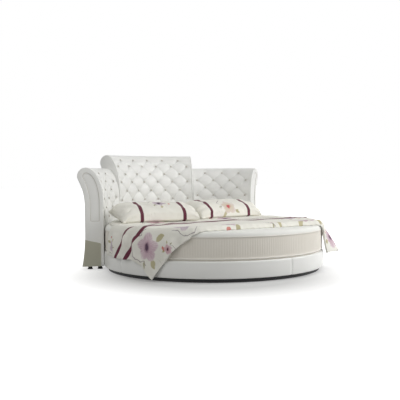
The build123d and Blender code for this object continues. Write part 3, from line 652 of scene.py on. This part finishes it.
def piping(path, bearing):
    """Loops of a round tube along a closed outline, at a depth out from the upright plane of a bearing."""
    tangent = np.roll(path, -1, axis=0) - np.roll(path, 1, axis=0)
    sideways = np.stack([tangent[:, 1], -tangent[:, 0]], -1) / np.hypot(*tangent.T)[:, None]
    turn = np.linspace(0, 2 * pi, 10, endpoint=False)
    ring = path[:, None] + piping_radius * np.cos(turn)[None, :, None] * sideways[:, None]
    shift = np.sign(bearing) * (piping_depth + piping_radius * np.sin(turn))[None]
    return around(ring[..., 0], bearing + np.degrees(shift / mid_radius), ring[..., 1])


taupe = leather("taupe_corrected_leather", "#bdbcab", "#b2b09f", 0.5)
for name, side in (("right_wing", 1), ("left_wing", -1)):
    border = build(name + "_end_border_leather", [end_border(side)], [ivory], closed=True)
    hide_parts(name + "_end_border")
    panel = build(name + "_end_panel_leather", [end_panel(side)], [ivory])
    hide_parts(name + "_end_panel")
    outline = panel_loop(piping_inset, panel_corner - piping_inset)
    welt = build(name + "_panel_piping", [piping(outline, side * WING["end"])], [button_leather], closed=True)
    dress(taupe, name + "_foot_panel")

# Mattress: round foam in a cover of knitted ticking, quilted in narrow upright channels round its border
# and edged above and below with rolled tape.
mattress_radius = 1090 * MM
mattress_low = 188.3 * MM
mattress_top = 440 * MM
mattress_crown = 5 * MM
mattress_edge = 40 * MM
mattress_foot = 12 * MM
tape_radius = 5.5 * MM
border_radius = mattress_radius - 1 * MM
tape_centre_radius = mattress_radius - 2 * MM
border_swell = 3 * MM
channel_end = 20 * MM
pole_radius = 12 * MM
channels = 300
channel_depth = 1.1 * MM
samples_per_channel = 5


def ticking(name, pale, deep, wale):
    """Knitted cotton ticking: fine loops in rows, drawn as coarse as they need to show, soft and matt."""
    return coat(name, pale, deep, 0.85, (150 * MM, 3.0), (wale, None, 0.2, 0.8 * MM), Sheen_Weight=0.15,
                Sheen_Roughness=0.5)


border_knit = ticking("knitted_border_ticking", "#eee9e0", "#e6e0d5", 4 * MM)
top_knit = ticking("knitted_top_ticking", "#f7f7f3", "#f1f1ec", 6 * MM)
edge_tape = ticking("woven_edge_tape", "#f3f0ea", "#e9e5dd", 3 * MM)
foam = coat("cut_polyether_foam", "#e9e2c8", None, 0.95, None, (3 * MM, 2.0, 0.3, 0.5 * MM))
dress(foam, "mattress_core")

lower_tape = mattress_low + mattress_foot + tape_radius
upper_tape = mattress_top - mattress_edge - tape_radius
edge_centre = (mattress_radius - mattress_edge, mattress_top - mattress_edge)
foot_edge = (mattress_radius - mattress_foot, mattress_low)
crown_radii = np.linspace(edge_centre[0], pole_radius, 12)
crown = mattress_top + mattress_crown * (1 - (crown_radii / edge_centre[0]) ** 2)
KNIT, TAPE, TOP = range(3)
stretches = [
    (KNIT, straight((pole_radius, mattress_low), foot_edge, 8)[:-1]),
    (KNIT, straight(foot_edge, (border_radius, lower_tape - tape_radius), 3)),
    (TAPE, bend((tape_centre_radius, lower_tape), tape_radius, -75, 75, 6)),
    (KNIT, straight((border_radius, lower_tape + tape_radius), (border_radius, upper_tape - tape_radius), 12)),
    (TAPE, bend((tape_centre_radius, upper_tape), tape_radius, -75, 75, 6)),
    (TOP, bend(edge_centre, mattress_edge, 0, 90, 9)),
    (TOP, np.stack([crown_radii, crown], -1)[1:])]
profile = np.concatenate([path for kind, path in stretches])
kinds = np.concatenate([np.full(len(path), kind) for kind, path in stretches])[:-1]
knitted = np.append(kinds, kinds[-1]) == KNIT
turn = np.linspace(0, 360, channels * samples_per_channel, endpoint=False)
channel = np.abs(np.sin(np.radians(turn) * channels / 2)) ** 0.7
between_tapes = knitted * np.clip((profile[:, 1] - lower_tape - tape_radius) / channel_end, 0, 1)
between_tapes *= np.clip((upper_tape - tape_radius - profile[:, 1]) / channel_end, 0, 1)
swell = np.sin(pi * np.clip((profile[:, 1] - lower_tape) / (upper_tape - lower_tape), 0, 1))
swell *= border_swell * (knitted & (profile[:, 0] > tape_centre_radius))
radii = (profile[:, 0] + swell)[:, None]
radii = radii - channel_depth * between_tapes[:, None] * (1 - channel)[None]
mattress = build("mattress_ticking_cover", [around(radii, turn[None], profile[:, 1, None])],
                 [border_knit, edge_tape, top_knit], rows=kinds, sharp=50)
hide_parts("mattress_cover")

# Printed cotton for the quilt and the pillow cases: ivory percale with woven burgundy bands and loose
# painted flowers in mauve and rose, each with a dark heart, a few drawn petals, olive leaves and a bud.
def drawn_shape(tree, level, softness):
    """Mask that is one where a level is above zero, with a soft edge."""
    span = {"Value": level, "From Min": 0.0, "From Max": softness}
    return add(tree, "MapRange", span, clamp=True)


def tinted(tree, mask, below, above, strength=1.0):
    """A colour laid over another through a mask, thinned by a strength."""
    thin = add(tree, "Math", [mask, strength], operation="MULTIPLY")
    return add(tree, "Mix", {0: thin, 6: below, 7: above}, out=2, data_type="RGBA")


def leaf_shape(tree, distance, angle, direction, start, length, width):
    """Mask of a pointed leaf that lies along a direction, between two distances from the flower."""
    turned = add(tree, "Math", [angle, direction], operation="SUBTRACT")
    along, beside = (add(tree, "Math", [distance, add(tree, "Math", [turned], operation=way)],
                         operation="MULTIPLY") for way in ("COSINE", "SINE"))
    beside = add(tree, "Math", [beside], operation="ABSOLUTE")
    span = {"Value": along, "From Min": start, "From Max": start + length, "To Max": pi}
    phase = add(tree, "MapRange", span, clamp=True)
    arch = add(tree, "Math", [phase], operation="SINE")
    half = add(tree, "Math", [arch, width, -0.01], operation="MULTIPLY_ADD")
    return drawn_shape(tree, add(tree, "Math", [half, beside], operation="SUBTRACT"), 0.05)


def painted_flower():
    """Node group of one flower. Its petal edge is 0.72 + 0.28 |cos 2.5 angle| of its size, its drawn petals
    follow 1.0 + 0.4 |cos (1.5 angle + 0.5)|, and a noise bends both as a brush would. Each row of the first
    table is one sum: its name, its kind and its terms. Each row of the second is a stem, leaf or bud."""
    tree = bpy.data.node_groups.new("painted_flower", "ShaderNodeTree")
    for label, kind in (("Below", "Color"), ("Position", "Vector"), ("Centre", "Vector"), ("Size", "Float"),
                        ("Turn", "Float"), ("Petal", "Color"), ("Heart", "Color")):
        tree.interface.new_socket(name=label, in_out="INPUT", socket_type="NodeSocket" + kind)
    tree.interface.new_socket(name="Colour", in_out="OUTPUT", socket_type="NodeSocketColor")
    given = tree.nodes.new("NodeGroupInput").outputs
    shift = add(tree, "VectorMath", [given["Position"], given["Centre"]], operation="SUBTRACT")
    scale = add(tree, "Math", [1.0, given["Size"]], operation="DIVIDE")
    local = add(tree, "VectorMath", {0: shift, "Scale": scale}, operation="SCALE")
    brush = add(tree, "TexNoise", {"Vector": local, "Scale": 1.7, "Detail": 2.0}, out="Color")
    brush = add(tree, "VectorMath", [brush, (0.5, 0.5, 0.5)], operation="SUBTRACT")
    brush = add(tree, "VectorMath", {0: brush, "Scale": 0.45}, operation="SCALE")
    bent = add(tree, "VectorMath", [local, brush], operation="ADD")
    flat_place = add(tree, "VectorMath", [bent, (1.0, 1.0, 0.0)], operation="MULTIPLY")
    distance = add(tree, "VectorMath", [flat_place], out="Value", operation="LENGTH")
    wash = add(tree, "TexNoise", {"Vector": local, "Scale": 2.6, "Detail": 3.0})
    made = {axis: add(tree, "SeparateXYZ", [flat_place], out=axis) for axis in "XY"}
    made.update(turn=given["Turn"], distance=distance, wash=wash)
    for label, operation, *values in (
            ("cosine", "COSINE", "turn"), ("sine", "SINE", "turn"),
            ("y sine", "MULTIPLY", "Y", "sine"), ("x turned", "MULTIPLY_ADD", "X", "cosine", "y sine"),
            ("x sine", "MULTIPLY", "X", "sine"), ("y cosine", "MULTIPLY", "Y", "cosine"),
            ("y turned", "SUBTRACT", "y cosine", "x sine"), ("angle", "ARCTAN2", "y turned", "x turned"),
            ("lobes", "MULTIPLY", "angle", 2.5), ("lobes", "COSINE", "lobes"), ("lobes", "ABSOLUTE", "lobes"),
            ("edge", "MULTIPLY_ADD", "lobes", 0.28, 0.72), ("inside edge", "SUBTRACT", "edge", "distance"),
            ("veins", "MULTIPLY", "angle", 31.0), ("veins", "SINE", "veins"),
            ("veins", "MULTIPLY_ADD", "veins", 0.12, 0.1), ("depth", "MULTIPLY", "distance", "wash"),
            ("depth", "MULTIPLY_ADD", "depth", 1.5, "veins"),
            ("drawn", "MULTIPLY_ADD", "angle", 1.5, 0.5), ("drawn", "COSINE", "drawn"),
            ("drawn", "ABSOLUTE", "drawn"), ("drawn", "MULTIPLY_ADD", "drawn", 0.4, 1.0),
            ("line", "SUBTRACT", "drawn", "distance"), ("line", "ABSOLUTE", "line"),
            ("line", "SUBTRACT", 0.045, "line"), ("upper half", "GREATER_THAN", "angle", 0.3),
            ("ring", "SUBTRACT", 0.36, "distance"), ("heart", "SUBTRACT", 0.22, "distance")):
        made[label] = add(tree, "Math", [made.get(value, value) for value in values], operation=operation)
    petals = drawn_shape(tree, made["inside edge"], 0.12)
    petal_tones = {0: made["depth"], 6: given["Petal"], 7: linear("#e6d8dc")}
    petal = add(tree, "Mix", petal_tones, out=2, data_type="RGBA")
    pencil = drawn_shape(tree, made["line"], 0.03)
    pencil = add(tree, "Math", [pencil, made["upper half"]], operation="MULTIPLY")
    colour = given["Below"]
    for direction, start, length, width, tone, strength in (
            (-2.2, 0.8, 1.5, 0.035, "#4b4048", 0.8), (-0.9, 0.8, 0.8, 0.2, "#a79c62", 0.75),
            (-2.6, 0.75, 0.9, 0.22, "#b3a873", 0.75), (2.9, 0.9, 0.6, 0.14, "#8f8a55", 0.75),
            (-1.5, 1.15, 0.42, 0.2, "#cf6f63", 0.85)):
        leaf = leaf_shape(tree, distance, made["angle"], direction, start, length, width)
        colour = tinted(tree, leaf, colour, linear(tone), strength)
    colour = tinted(tree, pencil, colour, linear("#6d5766"), 0.7)
    colour = tinted(tree, petals, colour, petal, 0.9)
    colour = tinted(tree, drawn_shape(tree, made["ring"], 0.14), colour, given["Heart"], 0.55)
    colour = tinted(tree, drawn_shape(tree, made["heart"], 0.06), colour, given["Heart"], 0.95)
    finished = tree.nodes.new("NodeGroupOutput")
    tree.links.new(colour, finished.inputs["Colour"])
    return tree


flower = painted_flower()
mauve, rose, lilac, plum, wine = (linear(c) for c in ("#a8708f", "#b9697b", "#9a86a0", "#3b1a38", "#4d1830"))
burgundy = linear("#5c1a31")
band_softness = 1.5 * MM
band_slope = 0.34
band_reach = 0.6


def printed_cotton(name, locate, flowers, bands, across, pull=0.0):
    """Percale with flowers and bands printed on it. locate gives the place on the cloth from its tree, and
    across names the direction in which the bands are measured. pull is how far to the left of the middle
    the cloth is drawn forward, which bends the bands. Its threads are drawn at 3 mm to show."""
    material, tree, shader = new_material(name, "#f3f1e9", 0.78, Sheen_Weight=0.1, Sheen_Roughness=0.5)
    place = locate(tree)
    drift = add(tree, "TexNoise", {"Vector": place, "Scale": 1 / (220 * MM), "Detail": 2.0})
    tones = {0: drift, 6: linear("#f4f3ec"), 7: linear("#ece9df")}
    colour = add(tree, "Mix", tones, out=2, data_type="RGBA")
    for centre, size, turn, petal, heart in flowers:
        inputs = {"Below": colour, "Position": place, "Centre": (*centre, 0.0), "Size": size,
                  "Turn": radians(turn), "Petal": petal, "Heart": heart}
        colour = add(tree, "Group", inputs, node_tree=flower)
    where = add(tree, "SeparateXYZ", [place], out=across)
    if pull:
        side = add(tree, "SeparateXYZ", [place], out="X")
        inward = add(tree, "Math", [side, pull], operation="ADD")
        outward = add(tree, "Math", [inward, -1.0], operation="MULTIPLY")
        bent = add(tree, "Math", [inward, outward, 0.12], operation="SMOOTH_MAX")
        bent = add(tree, "Math", [bent, band_reach, 0.3], operation="SMOOTH_MIN")
        bent = add(tree, "Math", [bent, band_slope], operation="MULTIPLY")
        where = add(tree, "Math", [where, bent], operation="SUBTRACT")
    for middle, width in bands:
        off = add(tree, "Math", [where, middle], operation="SUBTRACT")
        off = add(tree, "Math", [off], operation="ABSOLUTE")
        within = add(tree, "Math", [width / 2, off], operation="SUBTRACT")
        colour = tinted(tree, drawn_shape(tree, within, band_softness), colour, burgundy)
    threads = [add(tree, "TexWave", {"Vector": place, "Scale": 1 / (20 * 3 * MM)},
                   bands_direction=direction) for direction in ("X", "Y")]
    weave = add(tree, "Math", threads, operation="MULTIPLY")
    crumple = add(tree, "TexNoise", {"Vector": place, "Scale": 1 / (45 * MM), "Detail": 3.0})
    soft = add(tree, "Bump", {"Height": crumple, "Strength": 0.7, "Distance": 6 * MM})
    fine = add(tree, "Bump",
               {"Height": weave, "Strength": 0.1, "Distance": 0.4 * MM, "Normal": soft})
    tree.links.new(colour, shader.inputs["Base Color"])
    tree.links.new(fine, shader.inputs["Normal"])
    return material


# Quilt: a light duvet in the printed cotton, laid a little askew over the mattress. It hangs down the left
# side in flutes, with one corner near the floor, and the other corner hangs over on the right.
quilt_turn = radians(7)
quilt_rim = 1048 * MM
quilt_top = 466.5 * MM
quilt_edge = 70 * MM
quilt_thickness = 17 * MM
quilt_head_radius = 1042 * MM
quilt_cut = np.array([(-1338, -762), (-800, -850), (690, -850), (950, -1015), (1135, -800), (1040, 0),
                      (1040, 1300), (-1375, 1300), (-1375, -190), (-1304, -474)]) * MM
quilt_pull = 1.02
quilt_pole = 15 * MM
skirt_end = -79.0
flute_width = 8.5
flute_depth = 40 * MM
# In degrees: the left corner hangs as one cone, and the right one hangs without flutes and flares.
cone_bearing, cone_width = -112, 7
smooth_bearing, smooth_width = 140, 13
flare_bearing, flare_width = 134, 8
front_roll_height = 24 * MM
front_roll_width = 55 * MM
front_line = 850 * MM
quilt_edge_drop = 23.5 * MM
corner_flare = 0.62
band_fold = 11 * MM
band_fold_width = 50 * MM
fold_along = -0.41
rumple_lift = 3.4 * MM
rumple_margin = 60 * MM
gather_lift = 2.6 * MM
gather_pitch = 75 * MM
gather_reach = 90 * MM
hem_limit = 20 * MM
quilt_columns = 620
quilt_rows = 74


def to_flat(bearing):
    """Direction on the flat quilt of a bearing on the bed."""
    a = np.radians(bearing)
    return (np.sin(a) * cos(quilt_turn) - np.cos(a) * sin(quilt_turn),
            np.sin(a) * sin(quilt_turn) + np.cos(a) * cos(quilt_turn))


def quilt_reach(bearing):
    """Distance from the middle to the edge of the flat quilt along a bearing: the nearest crossing of the
    bearing's line with the straight edges of the cut, and inside the headboard a circle."""
    u, v = to_flat(bearing)
    reach = np.full(len(bearing), 10.0)
    for p, q in zip(quilt_cut, np.roll(quilt_cut, -1, axis=0)):
        edge = q - p
        facing = u * edge[1] - v * edge[0]
        distance = (p[0] * edge[1] - p[1] * edge[0]) / facing
        share = (p[0] * v - p[1] * u) / facing
        crossing = (distance > 0) & (share >= -1e-6) & (share <= 1 + 1e-6)
        reach = np.where(crossing, np.minimum(reach, distance), reach)
    head = (bearing > skirt_end) & (bearing < 90)
    return np.where(head, np.minimum(reach, quilt_head_radius), reach)


bearings = np.linspace(-180, 180, quilt_columns, endpoint=False)
corner_bearings = np.degrees(np.arctan2(quilt_cut[:, 0], quilt_cut[:, 1])) + degrees(quilt_turn)
for corner in corner_bearings:
    bearings[np.argmin(abs(bearings - corner))] = corner
steps = np.linspace(0, 1, quilt_rows)[:, None]
reach = quilt_reach(bearings)[None]
distance = quilt_pole + (reach - quilt_pole) * (1 - (1 - steps) ** 1.6)
across, along = (distance * part for part in to_flat(bearings[None]))
over = np.clip(distance - quilt_rim, 0, None)
turn = np.clip(over / quilt_edge, 0, pi / 2)
hang = np.clip(over - quilt_edge * pi / 2, 0, None)
waves = np.cos(2 * pi * (bearings + 95) / flute_width + 0.9 * np.sin(np.radians(bearings) * 11))[None]
cone, smooth, flare = (np.exp(-((bearings - middle) / width) ** 2)[None] for middle, width in (
    (cone_bearing, cone_width), (smooth_bearing, smooth_width), (flare_bearing, flare_width)))
amplitude = np.minimum(0.15 * np.sqrt(hang / quilt_rim), flute_depth)
flutes = amplitude * (0.5 * (1 + waves) * (1 - 0.6 * cone) + 0.5 * cone)
flutes = flutes * (1 - smooth) + corner_flare * hang * flare
# Rumples of the loose cloth: three crossed sines, each bent by another, of wavelengths from 0.7 to 0.27 m.
rumple = (np.sin(across * 9 + 2.1 * np.sin(along * 5)) * np.sin(along * 12 + 1.3 * np.sin(across * 7))
          + 0.8 * np.sin(along * 21 + across * 4 + 1.6 * np.sin(across * 5))
          + 0.6 * np.sin(across * 23 + 4 * np.sin(along * 9)) * np.sin(along * 19 + 1))
from_edge = np.minimum(reach - distance, along + front_line)
gathers = np.sin(across * 2 * pi / gather_pitch + 2 * np.sin(across * 8))
gathers = gathers * np.exp(-np.abs(from_edge) / gather_reach)
lift = rumple_lift * rumple * np.clip((reach - distance) / rumple_margin, 0, 1) + gather_lift * gathers
from_front = np.clip(along + front_line, 0, None) / front_roll_width
bent_along = along - band_slope * np.minimum(np.hypot(across + quilt_pull, 0.1), band_reach)
fold = band_fold * np.exp(-((bent_along - fold_along) / band_fold_width) ** 2)
front_roll = front_roll_height * from_front * np.exp(1 - from_front)
edge_droop = rounded(np.clip(from_edge, 0, None), quilt_edge_drop)
radius = np.where(over > 0, quilt_rim + quilt_edge * np.sin(turn), distance)
radius = radius + flutes + lift * np.sin(turn)
height = quilt_top - quilt_edge * (1 - np.cos(turn)) - hang
height = height + (lift + fold + front_roll - edge_droop) * np.cos(turn)
height = np.where(height < hem_limit, hem_limit + 0.12 * (height - hem_limit), height)
flower_rows = (
    ((-1.12, -0.57), 0.135, 25, mauve, plum), ((-1.00, -0.77), 0.05, 200, rose, wine),
    ((-1.29, -0.02), 0.07, 110, lilac, plum), ((-0.74, -0.70), 0.10, 160, lilac, plum),
    ((-0.30, -0.70), 0.13, -30, mauve, plum), ((0.14, -0.74), 0.09, 90, rose, wine),
    ((0.56, -0.72), 0.13, 15, mauve, plum), ((0.96, -0.80), 0.12, -70, mauve, plum),
    ((-0.62, 0.06), 0.1, 70, rose, wine), ((0.25, 0.16), 0.11, -120, mauve, plum),
    ((0.78, -0.22), 0.09, 40, lilac, plum), ((0.62, 0.62), 0.1, 140, rose, wine))
quilt_bands = ((-0.262, 28 * MM), (-0.43, 38 * MM))
quilt_print = printed_cotton("printed_quilt_percale", lambda tree: add(tree, "TexCoord", out="UV"),
                             flower_rows, quilt_bands, "Y", pull=quilt_pull)
flat = np.stack(np.broadcast_arrays(across, along), -1)
quilt = build("quilt_cotton", [around(radius, bearings[None], height)], [quilt_print], capped=(True, False),
              flat=flat, sharp=180)
wadding = quilt.modifiers.new("wadding", "SOLIDIFY")
wadding.thickness = quilt_thickness
wadding.offset = -1
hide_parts("quilt")

# Pillows: two full pillows in cases of the same cotton, leant back a little on the quilt before the
# headboard. The fill swells them against their seams, and the cases crumple at the ends.
pillow_length = 820 * MM
pillow_outward = 20 * MM
pillow_depth = 500 * MM
pillow_height = 156 * MM
pillow_lean = radians(8)
pillow_voxel = 6 * MM
pillow_travel = 12 * MM
pillow_face_tilt = radians(40)
pillow_seam = 4 * MM
pillow_clearance = 2 * MM
above_seam, below_seam = 0.8, 0.2
crease_height = 14 * MM
pillow_band = 37 * MM
fill_pressure = 4.0
fill_frames = 20
sand, coral = linear("#cdbf93"), linear("#c9545c")
PILLOWS = (
    ("left_pillow", -1, -14, ((0.03, 0.05), 0.075, 60, lilac, plum), (-0.205, 0.245)),
    ("right_pillow", 1, -4, ((-0.02, -0.09), 0.095, 20, sand, coral), (-0.27, 0.23)))


def pillow_loops(columns=90, rows=72):
    """Closed pillow: at each length a full lens, with sides drawn in between the corners and creases that
    run in from the two ends and fade towards the middle."""
    share = np.sin(np.linspace(-pi / 2, pi / 2, columns))[:, None] * 0.999
    turn = np.linspace(0, 2 * pi, rows, endpoint=False)[None]
    half_depth = pillow_depth / 2 * (1 - 0.06 * (1 - share ** 2))
    swell = np.clip(1 - np.abs(share) ** 7, 0, None) ** 0.55
    y = np.sign(np.cos(turn)) * np.abs(np.cos(turn)) ** 0.6
    lens = np.clip(1 - np.abs(y) ** 2.6, 0, None) ** 0.62
    thick = (pillow_seam + (pillow_height - pillow_seam) * swell) * lens
    z = np.where(np.sin(turn) >= 0, above_seam, -below_seam) * thick
    creases = np.sin(y * 17 + 3 * share) * np.exp(-((1 - np.abs(share)) / 0.28) ** 2)
    creases = creases + 0.4 * np.sin(y * 9 + share * 14)
    z = z + crease_height * creases * lens * (np.sin(turn) > 0)
    return np.stack(np.broadcast_arrays(share * pillow_length / 2, y * half_depth, z), -1)


def settled(piece):
    """Applies a piece's modifiers to its mesh."""
    made = piece.evaluated_get(bpy.context.evaluated_depsgraph_get())
    mesh = bpy.data.meshes.new_from_object(made)
    piece.modifiers.clear()
    piece.data = mesh


def corners_of(mesh):
    """Places of a mesh's points as an array."""
    points = np.zeros(len(mesh.vertices) * 3)
    mesh.vertices.foreach_get("co", points)
    return points.reshape(-1, 3)


def stuffed(piece, floor_height):
    """Swells a case by the pressure of its fill: an even mesh, twenty steps of cloth without gravity, the
    travel of each point capped, nothing below what it lies on, and one subdivision."""
    even_cloth = piece.modifiers.new("even_cloth", "REMESH")
    even_cloth.mode = "VOXEL"
    even_cloth.voxel_size = pillow_voxel
    settled(piece)
    before = corners_of(piece.data)
    cloth = piece.modifiers.new("fill", "CLOTH")
    cloth.settings.use_pressure = True
    cloth.settings.uniform_pressure_force = fill_pressure
    cloth.settings.effector_weights.gravity = 0
    cloth.settings.quality = 5
    cloth.settings.shrink_min = -0.03
    cloth.settings.bending_stiffness = 0.2
    cloth.point_cache.frame_end = fill_frames
    for step in range(1, fill_frames + 1):
        scene.frame_set(step)
    settled(piece)
    travel = corners_of(piece.data) - before
    far = np.linalg.norm(travel, axis=1, keepdims=True)
    after = before + travel * np.minimum(1, pillow_travel / np.maximum(far, 1e-9))
    after[:, 2] = np.maximum(after[:, 2], floor_height)
    piece.data.vertices.foreach_set("co", after.ravel())
    piece.data.polygons.foreach_set("use_smooth", np.ones(len(piece.data.polygons), bool))
    finer = piece.modifiers.new("finer", "SUBSURF")
    finer.levels = finer.render_levels = 1
    settled(piece)


def on_pillow(tree, shift, turned):
    """Place on a pillow, measured from its middle along its length and depth."""
    settings = {"Vector": add(tree, "TexCoord", out="Object"), "Location": tuple(shift),
                "Rotation": (pillow_face_tilt, 0.0, radians(turned))}
    return add(tree, "Mapping", settings, vector_type="TEXTURE")


for name, side, turned, motif, band_places in PILLOWS:
    low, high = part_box(name)
    lying = Matrix.Rotation(radians(turned), 3, "Z") @ Matrix.Rotation(pillow_lean, 3, "X")
    loops = pillow_loops() @ np.array(lying).T
    flattened = loops.reshape(-1, 3)
    middle = (flattened.min(0) + flattened.max(0)) / 2
    shift = np.array([(low.x + high.x) / 2 - middle[0], (low.y + high.y) / 2 - middle[1],
                      low.z + pillow_clearance - flattened[:, 2].min()])
    shift += side * pillow_outward * np.array([cos(radians(turned)), sin(radians(turned)), 0.0])
    case = printed_cotton(f"printed_{name}_percale", lambda tree: on_pillow(tree, shift, turned), [motif],
                          [(x, pillow_band) for x in band_places], "X")
    pillow = build(name + "_cotton", [loops + shift], [case], sharp=180)
    stuffed(pillow, low.z)
    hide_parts(name)
